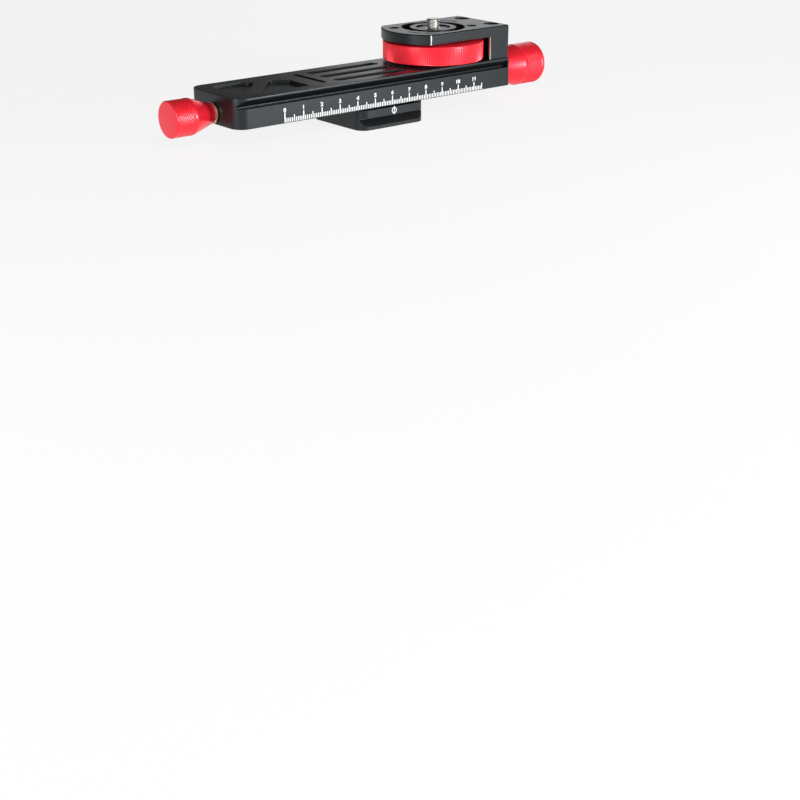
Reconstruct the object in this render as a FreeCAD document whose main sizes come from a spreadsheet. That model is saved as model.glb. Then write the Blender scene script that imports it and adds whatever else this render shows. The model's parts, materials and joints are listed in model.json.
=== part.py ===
import FreeCAD, Part
import Sketcher
import math
import os

# Macro focusing rail, in millimetres, +Z up, with the scale on the -Y side.
# The origin is the middle of the foot's underside. The rail runs along X.

doc = FreeCAD.newDocument("MacroFocusingRail")
sheet = doc.addObject("Spreadsheet::Sheet", "Sizes")

# Driving dimensions: name, number, what it is
driving = [
    ("foot_side", "38", "width and length of the square dovetail foot"),
    ("foot_height", "9", "underside to top face of the foot"),
    ("foot_corner", "5.2", "radius of the foot's upright corners"),
    ("foot_land", "3.3", "band above the foot's groove, with the index mark"),
    ("foot_lower_land", "1.6", "band below the foot's groove"),
    ("tripod_thread", "6.35", "quarter inch thread in the underside"),
    ("tripod_thread_depth", "6.5", "depth of that thread"),
    ("groove_depth", "3", "depth of the side grooves of foot and rail"),
    ("groove_root", "0.45", "upright root of those grooves"),
    ("groove_stop", "0.8", "solid end of the rail past its grooves, at the large knob"),
    ("rail_length", "156.8", "end to end"),
    ("rail_width", "38", "front to back"),
    ("rail_height", "13.2", "underside to top face of the rail"),
    ("rail_corner", "5.7", "upright corners at the small knob"),
    ("ride_gap", "0.85", "daylight between foot and rail"),
    ("reading", "61", "scale reading at the index mark in this pose"),
    ("scale_margin", "24.2", "rail end to the zero of the scale"),
    ("rail_land", "0.95", "thin band above the rail's groove"),
    ("ruler_height", "8.6", "tall band below the rail's groove, with the scale"),
    ("mouth_width", "21.6", "opening of the channel in the underside"),
    ("channel_width", "27.6", "width of the channel above its flanks"),
    ("lip", "0.6", "upright lip below each flank"),
    ("roof", "3.6", "metal left above the channel"),
    ("left_wall", "11.6", "end wall at the small knob"),
    ("right_wall", "8.2", "end wall at the large knob"),
    ("slide_clearance", "0.06", "running clearance of the slide strips"),
    ("nut_headroom", "0.4", "nut block to the channel's roof"),
    ("slide_length", "24", "length of strips and nut block"),
    ("nut_width", "13.2", "width of the brass nut block"),
    ("slide_screw", "2.5", "screws that hold strips and nut block"),
    ("slide_screw_head", "4.7", "countersunk heads of those screws"),
    ("slide_screw_length", "14", "their length with the head"),
    ("slide_screw_socket", "1.5", "across the flats of their hexagon sockets"),
    ("strip_screw_place", "9.2", "foot's middle to the strip screws, along the rail"),
    ("nut_screw_place", "5", "foot's middle to the nut screws, along the rail"),
    ("nut_screw_spread", "4.9", "foot's middle to the nut screws, across"),
    ("relief_depth", "1.5", "depth of pockets and slots in the top face"),
    ("relief_corner", "1.7", "corner radius of the pockets"),
    ("relief_reach", "12.9", "rail's middle to the outer edge of the relief"),
    ("rib_width", "5.6", "slanting rib between the two pockets"),
    ("pocket_slant", "2.4", "cut corner of the first pocket"),
    ("pocket_front", "9.6", "rail's middle to the front of the first pocket"),
    ("pocket_tail", "3", "length of the first pocket's front edge"),
    ("pocket_bend", "6.4", "rail's middle to the bend in its slanting end"),
    ("apex_reach", "8.1", "rail's middle to the apex of the second pocket"),
    ("apex_shift", "1.6", "from that bend to the apex, along the rail"),
    ("second_pocket_bend", "3.2", "rail's middle to its far corner at the rear"),
    ("pocket_margin", "7.2", "rail end to the first pocket"),
    ("pocket_length", "18.8", "length of the first pocket"),
    ("second_pocket_end", "42.6", "rail end to the far end of the second pocket"),
    ("cross_slot_place", "51.8", "rail end to the slot that runs across"),
    ("cross_slot_width", "2.6", "width of that slot"),
    ("long_slot_start", "58", "rail end to the three long slots"),
    ("long_slot_length", "40.6", "length of the long slots"),
    ("long_slot_width", "5.2", "width of the long slots"),
    ("screw_diameter", "6", "outside of the lead screw's thread"),
    ("screw_height", "4.8", "rail underside to the screw's middle"),
    ("journal_diameter", "5", "plain ends of the screw"),
    ("bore_clearance", "0.05", "radial running clearance"),
    ("end_play", "0.05", "axial play at each end of the screw"),
    ("bush_diameter", "7", "bush in the end wall"),
    ("bush_flange", "8.4", "flange of the bush"),
    ("flange_thickness", "0.6", "thickness of that flange"),
    ("washer_diameter", "9.2", "brass thrust washer"),
    ("washer_thickness", "0.8", "thickness of that washer"),
    ("small_knob_diameter", "16", "knurled grip of the small knob"),
    ("small_knob_grip", "10.5", "length of that grip"),
    ("small_knob_cone", "10.8", "length of the small knob's cone"),
    ("small_knob_edge", "0.6", "rounded edge of the small knob"),
    ("large_knob_diameter", "20.1", "knurled grip of the large knob"),
    ("large_knob_grip", "14.2", "length of that grip"),
    ("large_knob_cone", "18.7", "length of the large knob's cone"),
    ("large_knob_edge", "1.8", "rounded edge of the large knob"),
    ("knob_nose", "8.9", "small end of both cones"),
    ("grub_diameter", "3", "grub screw of each knob"),
    ("grub_length", "3", "length of that grub screw"),
    ("grub_place", "4.2", "end of the cone's nose to the grub screw"),
    ("grub_socket", "1.5", "across the flats of its hexagon socket"),
    ("stage_offset", "32.1", "wheel's middle to the rail's end"),
    ("stage_gap", "10.8", "opening between rail and stage plate"),
    ("stage_plate", "4.7", "thickness of the stage plate"),
    ("stage_width", "36.2", "front to back of the stage bracket"),
    ("stage_radius", "24.6", "round end of the stage plate"),
    ("stage_edge", "0.4", "broken top edge of the plate"),
    ("throat_clearance", "2.7", "wheel's rim to the hollow of the block"),
    ("throat_edge", "1.1", "broken upright edges of the block"),
    ("ring_inner", "11", "inner radius of the ring groove"),
    ("ring_outer", "15.1", "outer radius of the ring groove"),
    ("ring_depth", "2.4", "depth of the ring groove"),
    ("pin_hole", "5", "holes for anti-twist pins"),
    ("pin_reach", "16.3", "wheel's middle to those holes, along the rail"),
    ("pin_spread", "9", "wheel's middle to those holes, across"),
    ("arc_radius", "19.2", "middle line of the two curved slots"),
    ("arc_width", "1.3", "width of the curved slots"),
    ("arc_depth", "1.2", "depth of the curved slots"),
    ("arc_angle", "27", "direction of the curved slots from the rail"),
    ("arc_span", "30", "angle that a curved slot covers"),
    ("bolt_inset", "4.4", "rail's end to the stage screws"),
    ("bolt_spread", "10.6", "rail's middle to the stage screws"),
    ("bolt_diameter", "4", "stage screws"),
    ("bolt_head", "6.8", "heads of the stage screws"),
    ("bolt_head_height", "2.8", "height of those heads"),
    ("bolt_sink", "0.8", "heads below the stage's face"),
    ("bolt_socket", "2.5", "across the flats of their hexagon sockets"),
    ("bolt_socket_depth", "1.7", "depth of those sockets"),
    ("bolt_clearance", "0.2", "radial clearance of heads and shanks"),
    ("bolt_grip", "8", "thread in the rail"),
    ("bolt_tip_room", "0.5", "free thread past the end of the stage screws"),
    ("dowel_diameter", "2.5", "dowel pins between bracket and rail"),
    ("dowel_spread", "14.6", "rail's middle to the dowels"),
    ("dowel_length", "8", "length of the dowels"),
    ("wheel_diameter", "47.8", "outside of the thumbwheel"),
    ("wheel_thickness", "8.7", "height of its rim"),
    ("wheel_lift", "1.15", "rail's top face to the rim"),
    ("wheel_edge", "0.5", "broken edge of the rim"),
    ("hub_radius", "8", "hub that turns in the stage plate"),
    ("hub_drop", "0.6", "hub's face below the stage's face"),
    ("stud_diameter", "6.35", "quarter inch camera stud"),
    ("stud_reach", "4", "stage face to the stud's tip"),
    ("stud_tip", "0.6", "chamfer of the stud's tip"),
    ("stud_shank", "7", "plain shank of the stud in the wheel's hub"),
    ("stud_relief", "5.2", "thread relief at the shoulder of the stud"),
    ("stud_flange", "14", "disc at the stud's foot"),
    ("stud_flange_thickness", "1.8", "thickness of that disc"),
    ("flange_screw_circle", "5", "stud's middle to the flange screws"),
    ("flange_screw", "2", "flange screws"),
    ("flange_screw_head", "3.8", "countersunk heads of the flange screws"),
    ("flange_screw_length", "6", "length of the flange screws"),
    ("flange_screw_socket", "1.2", "across the flats of their hexagon sockets"),
    ("glide_thickness", "0.5", "low-friction washers above and below the wheel"),
    ("glide_outer", "11", "outer radius of those washers"),
    ("glide_inner", "8.3", "inner radius of those washers"),
]


class Size:
    """A length that carries its number and the sheet expression behind it."""

    def __init__(self, number, text):
        self.number = number
        self.text = text

    def join(self, other, sign, number):
        text = other.text if isinstance(other, Size) else repr(other)
        return Size(number, "(" + self.text + " " + sign + " " + text + ")")

    def __add__(self, other):
        return self.join(other, "+", self.number + plain(other))

    def __sub__(self, other):
        return self.join(other, "-", self.number - plain(other))

    def __mul__(self, other):
        return self.join(other, "*", self.number * plain(other))

    def __truediv__(self, other):
        return self.join(other, "/", self.number / plain(other))

    def __neg__(self):
        return Size(-self.number, "(0 - " + self.text + ")")


def plain(value):
    """The number of a Size, or the number itself."""
    return value.number if isinstance(value, Size) else value


sizes = {}
for row, (alias, number, meaning) in enumerate(driving, start=1):
    sheet.set("A" + str(row), alias)
    sheet.set("B" + str(row), number)
    sheet.set("C" + str(row), meaning)
    sheet.setAlias("B" + str(row), alias)
    sizes[alias] = Size(float(number), "Sizes." + alias)
doc.recompute()


def size(alias):
    """The driving dimension of that name."""
    return sizes[alias]


# Heights
foot_top = size("foot_height")
rail_bottom = foot_top + size("ride_gap")
rail_top = rail_bottom + size("rail_height")
plate_bottom = rail_top + size("stage_gap")
plate_top = plate_bottom + size("stage_plate")
screw_z = rail_bottom + size("screw_height")
channel_roof = rail_top - size("roof")
wheel_bottom = rail_top + size("wheel_lift")
wheel_top = wheel_bottom + size("wheel_thickness")
hub_bottom = rail_top + size("glide_thickness") + size("bore_clearance")
hub_shoulder = plate_bottom - size("glide_thickness") - size("bore_clearance")
hub_top = plate_top - size("hub_drop")

# Places along the rail
rail_left = -size("reading") - size("scale_margin")
rail_right = rail_left + size("rail_length")
channel_left = rail_left + size("left_wall")
channel_right = rail_right - size("right_wall")
stage_x = rail_right - size("stage_offset")
bolt_x = rail_right - size("bolt_inset")

# Half widths and radii
half_rail = size("rail_width") / 2
half_stage = size("stage_width") / 2
half_foot = size("foot_side") / 2
half_slide = size("slide_length") / 2
half_nut = size("nut_width") / 2
half_mouth = size("mouth_width") / 2
half_channel = size("channel_width") / 2
strip_inset = size("slide_clearance") * math.sqrt(2)
strip_middle = (half_nut + half_mouth - strip_inset) / 2
wheel_radius = size("wheel_diameter") / 2
throat_radius = wheel_radius + size("throat_clearance")
journal_radius = size("journal_diameter") / 2
stud_radius = size("stud_diameter") / 2
shank_radius = size("stud_shank") / 2

OVERCUT = 1.0


def bind(target, prop, value):
    """Set a property from the sheet, or to a plain number."""
    text = value.text if isinstance(value, Size) else repr(value)
    target.setExpression(prop, text)


def new_body(label):
    """A body whose label names its file."""
    body = doc.addObject("PartDesign::Body", label)
    body.Label = label
    return body


def sketch_on(body, name, plane, offset=0.0, across=0.0, rise=0.0):
    """A sketch on one of the body's own planes, moved along its normal and in the plane."""
    sketch = body.newObject("Sketcher::SketchObject", name)
    role = plane + "_Plane"
    base = [f for f in body.Origin.OriginFeatures if f.Role == role][0]
    sketch.AttachmentSupport = [(base, "")]
    sketch.MapMode = "FlatFace"
    bind(sketch, "AttachmentOffset.Base.x", across)
    bind(sketch, "AttachmentOffset.Base.y", rise)
    bind(sketch, "AttachmentOffset.Base.z", offset)
    return sketch


def place_point(sketch, geometry, end, across, up):
    """Fix a point of the sketch by its two distances from the origin."""
    for kind, value, axis in (("DistanceX", across, -2), ("DistanceY", up, -1)):
        if plain(value) == 0:
            sketch.addConstraint(
                Sketcher.Constraint("PointOnObject", geometry, end, axis)
            )
            continue
        index = sketch.addConstraint(
            Sketcher.Constraint(kind, -1, 1, geometry, end, plain(value))
        )
        bind(sketch, "Constraints[" + str(index) + "]", value)


def polygon(sketch, points):
    """A closed outline of straight lines through the given points."""
    corners = [FreeCAD.Vector(plain(x), plain(y), 0) for x, y in points]
    first = sketch.GeometryCount
    for here, there in zip(corners, corners[1:] + corners[:1]):
        sketch.addGeometry(Part.LineSegment(here, there))
    for i, (x, y) in enumerate(points):
        before = first + (i - 1) % len(points)
        sketch.addConstraint(
            Sketcher.Constraint("Coincident", before, 2, first + i, 1)
        )
        place_point(sketch, first + i, 1, x, y)


def rectangle(sketch, low, high):
    """A rectangle between two opposite corners."""
    polygon(sketch, [low, (high[0], low[1]), high, (low[0], high[1])])


def circle(sketch, x, y, radius):
    """A full circle."""
    centre = FreeCAD.Vector(plain(x), plain(y), 0)
    normal = FreeCAD.Vector(0, 0, 1)
    index = sketch.addGeometry(Part.Circle(centre, normal, plain(radius)))
    place_point(sketch, index, 3, x, y)
    limit = sketch.addConstraint(Sketcher.Constraint("Radius", index, plain(radius)))
    bind(sketch, "Constraints[" + str(limit) + "]", radius)


def slot(sketch, start, end, radius):
    """A slot with round ends between two centres."""
    first = FreeCAD.Vector(plain(start[0]), plain(start[1]), 0)
    last = FreeCAD.Vector(plain(end[0]), plain(end[1]), 0)
    along = (last - first).normalize()
    side = FreeCAD.Vector(-along.y, along.x, 0) * plain(radius)
    turn = math.atan2(along.y, along.x)
    quarter = math.pi / 2
    normal = FreeCAD.Vector(0, 0, 1)
    far_ring = Part.Circle(last, normal, plain(radius))
    near_ring = Part.Circle(first, normal, plain(radius))
    base = sketch.GeometryCount
    sketch.addGeometry(Part.LineSegment(first - side, last - side))
    sketch.addGeometry(Part.ArcOfCircle(far_ring, turn - quarter, turn + quarter))
    sketch.addGeometry(Part.LineSegment(last + side, first + side))
    sketch.addGeometry(
        Part.ArcOfCircle(near_ring, turn + quarter, turn + 3 * quarter)
    )
    for a, a_end, b, b_end in ((0, 2, 1, 1), (1, 2, 2, 1), (2, 2, 3, 1), (3, 2, 0, 1)):
        sketch.addConstraint(
            Sketcher.Constraint("Tangent", base + a, a_end, base + b, b_end)
        )
    place_point(sketch, base + 3, 3, start[0], start[1])
    place_point(sketch, base + 1, 3, end[0], end[1])
    limit = sketch.addConstraint(
        Sketcher.Constraint("Radius", base + 1, plain(radius))
    )
    bind(sketch, "Constraints[" + str(limit) + "]", radius)


def hexagon(sketch, x, y, flats):
    """A hexagon with two sides parallel to the sketch's first axis."""
    half = flats / 2
    reach = half * (2 / math.sqrt(3))
    points = [
        (x + reach, y),
        (x + reach / 2, y + half),
        (x - reach / 2, y + half),
        (x - reach, y),
        (x - reach / 2, y - half),
        (x + reach / 2, y - half),
    ]
    polygon(sketch, points)


def pad(body, name, sketch, length, against=False):
    """Raise a solid from a sketch, along its normal or against it."""
    feature = body.newObject("PartDesign::Pad", name)
    feature.Profile = sketch
    feature.Reversed = against
    bind(feature, "Length", length)
    doc.recompute()
    return feature


def pocket(body, name, sketch, depth, along=False):
    """Cut into the body against the sketch's normal, or along it."""
    feature = body.newObject("PartDesign::Pocket", name)
    feature.Profile = sketch
    feature.Reversed = along
    bind(feature, "Length", depth)
    doc.recompute()
    return feature


def turned(body, name, sketch, axis):
    """A solid of revolution about one of the sketch's own axes."""
    feature = body.newObject("PartDesign::Revolution", name)
    feature.Profile = sketch
    feature.ReferenceAxis = (sketch, [axis])
    feature.Angle = 360
    doc.recompute()
    return feature


def is_upright(edge):
    """True for a straight edge along Z."""
    if edge.Curve.TypeId != "Part::GeomLine":
        return False
    return abs(edge.Curve.Direction.z) > 0.999


def middle_of(edge):
    """The middle of an edge's bounding box."""
    return edge.BoundBox.Center


def break_edges(body, kind, name, wanted, amount):
    """Fillet or chamfer the edges that pass a test."""
    base = body.Tip
    edges = enumerate(base.Shape.Edges, start=1)
    names = ["Edge" + str(index) for index, edge in edges if wanted(edge)]
    feature = body.newObject("PartDesign::" + kind, name)
    feature.Base = (base, names)
    bind(feature, "Radius" if kind == "Fillet" else "Size", amount)
    doc.recompute()
    return feature


def side_grooves(body, half_width, start, end, levels):
    """Cut the dovetail groove along both sides; levels run from its lower to its upper edge."""
    low, root_low, root_high, high = levels
    for name, side in (("Front", -1), ("Rear", 1)):
        rim = half_width * side
        root = (half_width - size("groove_depth")) * side
        outside = (half_width + OVERCUT) * side
        sketch = sketch_on(body, name + "GrooveProfile", "YZ", start)
        outline = [(rim, low), (root, root_low), (root, root_high), (rim, high)]
        polygon(sketch, outline + [(outside, high), (outside, low)])
        pocket(body, name + "Groove", sketch, end - start, along=True)


def group(label, pattern, places):
    """Copies of one piece at several places, as one node of separate solids."""
    copies = []
    for number, (x, y, z) in enumerate(places, start=1):
        copy = doc.addObject("App::Link", label + "_copy_" + str(number))
        copy.LinkedObject = pattern
        bind(copy, "Placement.Base.x", x)
        bind(copy, "Placement.Base.y", y)
        bind(copy, "Placement.Base.z", z)
        copies.append(copy)
    compound = doc.addObject("Part::Compound", label)
    compound.Label = label
    compound.Links = copies
    doc.recompute()
    return compound


def countersunk_screw(label, diameter, head, length, flats):
    """A countersunk screw whose head's face lies on the origin and whose shank rises."""
    body = new_body(label)
    profile = sketch_on(body, "ScrewProfile", "XZ")
    outline = [
        (0.0, 0.0),
        (head / 2, 0.0),
        (diameter / 2, (head - diameter) / 2),
        (diameter / 2, length),
        (0.0, length),
    ]
    polygon(profile, outline)
    turned(body, "Screw", profile, "V_Axis")
    socket = sketch_on(body, "SocketOutline", "XY")
    hexagon(socket, Size(0.0, "0"), Size(0.0, "0"), flats)
    pocket(body, "Socket", socket, (head - diameter) / 2, along=True)
    return body


# Carriage: the dovetail foot that a tripod head's clamp holds
slide_screw_places = [
    (size("strip_screw_place") * along, strip_middle * across)
    for along in (-1, 1)
    for across in (-1, 1)
]
nut_screw_places = [
    (size("nut_screw_place") * side, size("nut_screw_spread") * -side)
    for side in (-1, 1)
]


def make_foot():
    body = new_body("dovetail_foot")
    outline = sketch_on(body, "FootOutline", "XY")
    rectangle(outline, (-half_foot, -half_foot), (half_foot, half_foot))
    pad(body, "FootBlock", outline, foot_top)
    break_edges(body, "Fillet", "UprightCorners", is_upright, size("foot_corner"))
    low = size("foot_lower_land")
    root_low = low + size("groove_depth")
    levels = (low, root_low, root_low + size("groove_root"), foot_top - size("foot_land"))
    side_grooves(body, half_foot, -half_foot - OVERCUT, half_foot + OVERCUT, levels)
    thread = sketch_on(body, "TripodThreadOutline", "XY")
    circle(thread, 0.0, 0.0, size("tripod_thread") / 2)
    pocket(body, "TripodThread", thread, size("tripod_thread_depth"), along=True)
    holes = sketch_on(body, "ScrewHoles", "XY")
    for x, y in slide_screw_places + nut_screw_places:
        circle(holes, x, y, size("slide_screw") / 2)
    pocket(body, "ScrewClearance", holes, foot_top, along=True)
    sink = (size("slide_screw_head") - size("slide_screw")) / 2

    def is_hole_mouth(edge):
        flat = abs(middle_of(edge).z) < 0.001
        round_edge = edge.Curve.TypeId == "Part::GeomCircle"
        return flat and round_edge and edge.Curve.Radius < plain(size("slide_screw"))

    break_edges(body, "Chamfer", "Countersinks", is_hole_mouth, sink)


def make_slide_strip(label, side):
    body = new_body(label)
    shoulder = rail_bottom + size("lip")
    neck = half_mouth - strip_inset
    reach = half_channel - strip_inset
    crown = channel_roof - size("slide_clearance")
    outline = [
        (half_nut * side, foot_top),
        (neck * side, foot_top),
        (neck * side, shoulder),
        (reach * side, shoulder + (half_channel - half_mouth)),
        (reach * side, crown),
        (half_nut * side, crown),
    ]
    profile = sketch_on(body, "StripProfile", "YZ", -half_slide)
    polygon(profile, outline)
    pad(body, "Strip", profile, size("slide_length"))
    holes = sketch_on(body, "ScrewHoles", "XY", foot_top)
    for x, y in slide_screw_places:
        if plain(y) * side > 0:
            circle(holes, x, y, size("slide_screw") / 2)
    pocket(body, "Threads", holes, size("slide_screw_length") - foot_top, along=True)


def make_drive_nut():
    body = new_body("drive_nut")
    crown = channel_roof - size("nut_headroom")
    outline = sketch_on(body, "NutOutline", "XY", foot_top)
    rectangle(outline, (-half_slide, -half_nut), (half_slide, half_nut))
    pad(body, "NutBlock", outline, crown - foot_top)
    bore = sketch_on(body, "ScrewBoreOutline", "YZ", -half_slide - OVERCUT)
    circle(bore, 0.0, screw_z, size("screw_diameter") / 2 + size("bore_clearance"))
    pocket(body, "ScrewBore", bore, size("slide_length") + 2 * OVERCUT, along=True)
    holes = sketch_on(body, "ScrewHoles", "XY", foot_top)
    for x, y in nut_screw_places:
        circle(holes, x, y, size("slide_screw") / 2)
    pocket(body, "Threads", holes, size("slide_screw_length") - foot_top, along=True)


# Rail
def make_rail():
    body = new_body("rail_body")
    outline = sketch_on(body, "RailOutline", "XY", rail_bottom)
    rectangle(outline, (rail_left, -half_rail), (rail_right, half_rail))
    pad(body, "RailBar", outline, size("rail_height"))

    def is_left_corner(edge):
        return is_upright(edge) and abs(middle_of(edge).x - plain(rail_left)) < 0.001

    break_edges(body, "Fillet", "LeftCorners", is_left_corner, size("rail_corner"))
    upper = rail_top - size("rail_land")
    root_high = upper - size("groove_depth")
    lower = rail_bottom + size("ruler_height")
    levels = (lower, root_high - size("groove_root"), root_high, upper)
    groove_end = rail_right - size("groove_stop")
    side_grooves(body, half_rail, rail_left - OVERCUT, groove_end, levels)
    cut_channel(body)
    cut_relief(body)
    cut_stage_seat(body)


def cut_channel(body):
    """The dovetail channel in the underside and the bore for screw and bushes."""
    profile = sketch_on(body, "ChannelProfile", "YZ", channel_left)
    shoulder = rail_bottom + size("lip")
    top_of_flank = shoulder + (half_channel - half_mouth)
    below = rail_bottom - OVERCUT
    rear = [
        (half_mouth, below),
        (half_mouth, shoulder),
        (half_channel, top_of_flank),
        (half_channel, channel_roof),
    ]
    front = [(-y, z) for y, z in reversed(rear)]
    polygon(profile, rear + front)
    pocket(body, "Channel", profile, channel_right - channel_left, along=True)
    bore = sketch_on(body, "BushBoreOutline", "YZ", rail_left - OVERCUT)
    circle(bore, 0.0, screw_z, size("bush_diameter") / 2)
    pocket(body, "BushBore", bore, size("rail_length") + 2 * OVERCUT, along=True)


def cut_relief(body):
    """Pockets and slots that lighten the top face."""
    reach = size("relief_reach")
    start = rail_left + size("pocket_margin")
    end = start + size("pocket_length")
    front = size("pocket_front")
    bend = size("pocket_bend")
    first = [
        (start, -front),
        (start, reach),
        (end - size("pocket_slant"), reach),
        (end, reach - size("pocket_slant")),
        (end, bend),
        (start + size("pocket_tail"), -front),
    ]
    rib = size("rib_width") * math.sqrt(2)
    far_end = rail_left + size("second_pocket_end")
    second = [
        (end + rib - bend - reach, -reach),
        (end + rib + size("apex_shift"), size("apex_reach")),
        (far_end, size("second_pocket_bend")),
        (far_end, -reach),
    ]
    outlines = sketch_on(body, "PocketOutlines", "XY", rail_top)
    polygon(outlines, first)
    polygon(outlines, second)
    pocket(body, "Pockets", outlines, size("relief_depth"))
    depth = plain(size("relief_depth"))

    def is_pocket_corner(edge):
        return is_upright(edge) and abs(edge.Length - depth) < 0.001

    break_edges(body, "Fillet", "PocketCorners", is_pocket_corner, size("relief_corner"))
    cross = rail_left + size("cross_slot_place")
    radius = size("cross_slot_width") / 2
    outline = sketch_on(body, "CrossSlotOutline", "XY", rail_top)
    slot(outline, (cross, -reach + radius * 2), (cross, reach - radius), radius)
    pocket(body, "CrossSlot", outline, size("relief_depth"))
    radius = size("long_slot_width") / 2
    start = rail_left + size("long_slot_start") + radius
    end = start + size("long_slot_length") - radius * 2
    outline = sketch_on(body, "LongSlotOutlines", "XY", rail_top)
    for side in (-1, 0, 1):
        y = (reach - radius) * side if side else 0.0
        slot(outline, (start, y), (end, y), radius)
    pocket(body, "LongSlots", outline, size("relief_depth"))


def cut_stage_seat(body):
    """Threads and dowel holes under the stage bracket."""
    threads = sketch_on(body, "StageThreadOutlines", "XY", rail_top)
    for side in (-1, 1):
        circle(threads, bolt_x, size("bolt_spread") * side, size("bolt_diameter") / 2)
    pocket(body, "StageThreads", threads, size("bolt_grip"))
    dowels = sketch_on(body, "DowelHoleOutlines", "XY", rail_top)
    for side in (-1, 1):
        circle(dowels, bolt_x, size("dowel_spread") * side, size("dowel_diameter") / 2)
    pocket(body, "DowelHoles", dowels, size("dowel_length") / 2)


def screw_line_sketch(body, name):
    """A sketch in the upright plane of the lead screw, with its first axis on the screw."""
    return sketch_on(body, name, "XZ", rise=screw_z)


def make_bush(label, face, inner_end, outward):
    body = new_body(label)
    bore = journal_radius + size("bore_clearance")
    barrel = size("bush_diameter") / 2
    flange = size("bush_flange") / 2
    outer_end = face + size("flange_thickness") * outward
    profile = screw_line_sketch(body, "BushProfile")
    outline = [
        (outer_end, bore),
        (outer_end, flange),
        (face, flange),
        (face, barrel),
        (inner_end, barrel),
        (inner_end, bore),
    ]
    polygon(profile, outline)
    turned(body, "Bush", profile, "H_Axis")


# Lead screw, with a washer and a knob at each end
def washer_face(face, outward):
    """Where the thrust washer starts, outside the bush's flange."""
    return face + (size("flange_thickness") + size("end_play")) * outward


def make_washer(label, face, outward):
    body = new_body(label)
    inner = washer_face(face, outward)
    outer = inner + size("washer_thickness") * outward
    profile = screw_line_sketch(body, "WasherProfile")
    rectangle(profile, (inner, journal_radius), (outer, size("washer_diameter") / 2))
    turned(body, "Washer", profile, "H_Axis")


def knob_nose(face, outward):
    """Where a knob's cone starts, against its washer."""
    return washer_face(face, outward) + size("washer_thickness") * outward


def make_lead_screw():
    body = new_body("lead_screw")
    thread = size("screw_diameter") / 2
    left_end = knob_nose(rail_left, -1) - size("small_knob_cone") - size("small_knob_grip") / 2
    right_end = knob_nose(rail_right, 1) + size("large_knob_cone") + size("large_knob_grip") / 2
    left_shoulder = channel_left + size("end_play")
    right_shoulder = channel_right - size("end_play")
    profile = screw_line_sketch(body, "ScrewProfile")
    outline = [
        (left_end, 0.0),
        (left_end, journal_radius),
        (left_shoulder, journal_radius),
        (left_shoulder, thread),
        (right_shoulder, thread),
        (right_shoulder, journal_radius),
        (right_end, journal_radius),
        (right_end, 0.0),
    ]
    polygon(profile, outline)
    turned(body, "Screw", profile, "H_Axis")


def make_knob(prefix, face, outward):
    """A knob with a smooth cone and a grip, fixed to the screw by a grub screw."""
    cone = size(prefix + "_cone")
    grip = size(prefix + "_grip")
    radius = size(prefix + "_diameter") / 2
    edge_size = size(prefix + "_edge")
    nose = knob_nose(face, outward)
    shoulder = nose + cone * outward
    end = shoulder + grip * outward
    bore_end = shoulder + grip / 2 * outward
    body = new_body(prefix)
    profile = screw_line_sketch(body, "KnobProfile")
    outline = [
        (nose, journal_radius),
        (nose, size("knob_nose") / 2),
        (shoulder, radius),
        (end, radius),
        (end, 0.0),
        (bore_end, 0.0),
        (bore_end, journal_radius),
    ]
    polygon(profile, outline)
    turned(body, "Knob", profile, "H_Axis")
    limit = plain(end)

    def is_end_rim(edge):
        return edge.Closed and abs(middle_of(edge).x - limit) < 0.001

    break_edges(body, "Fillet", "EndEdge", is_end_rim, edge_size)
    grub_x = nose + size("grub_place") * outward
    hole = sketch_on(body, "GrubHoleOutline", "XY", screw_z)
    circle(hole, grub_x, 0.0, size("grub_diameter") / 2)
    pocket(body, "GrubHole", hole, radius)
    make_grub_screw(prefix + "_grub_screw", grub_x)


def make_grub_screw(label, x):
    body = new_body(label)
    top = screw_z - journal_radius
    outline = sketch_on(body, "GrubOutline", "XY", top)
    circle(outline, x, 0.0, size("grub_diameter") / 2)
    pad(body, "Grub", outline, size("grub_length"), against=True)
    socket = sketch_on(body, "SocketOutline", "XY", top - size("grub_length"))
    hexagon(socket, x, Size(0.0, "0"), size("grub_socket"))
    pocket(body, "Socket", socket, size("grub_length") / 2, along=True)


# Stage bracket with its round plate over the thumbwheel
def make_stage_bracket():
    body = new_body("stage_bracket")
    block = sketch_on(body, "BlockOutline", "XY", rail_top)
    rectangle(block, (stage_x, -half_stage), (rail_right, half_stage))
    pad(body, "Block", block, plate_top - rail_top)
    throat = sketch_on(body, "ThroatOutline", "XY", rail_top)
    circle(throat, stage_x, 0.0, throat_radius)
    pocket(body, "Throat", throat, size("stage_gap"), along=True)

    def is_throat_edge(edge):
        inside = middle_of(edge).x < plain(rail_right) - 0.001
        return is_upright(edge) and inside and middle_of(edge).z < plain(plate_bottom)

    break_edges(body, "Chamfer", "ThroatEdges", is_throat_edge, size("throat_edge"))
    disc = sketch_on(body, "PlateOutline", "XY", plate_bottom)
    circle(disc, stage_x, 0.0, size("stage_radius"))
    pad(body, "Plate", disc, size("stage_plate"))
    trim = sketch_on(body, "SideTrimOutlines", "XY", plate_bottom)
    reach = size("stage_radius") + OVERCUT
    for side in (-1, 1):
        near = (stage_x - reach, half_stage * side)
        far = (stage_x + reach, reach * side)
        rectangle(trim, near, far)
    pocket(body, "SideTrim", trim, size("stage_plate"), along=True)
    cut_stage_holes(body)
    cut_stage_face(body)


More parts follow.
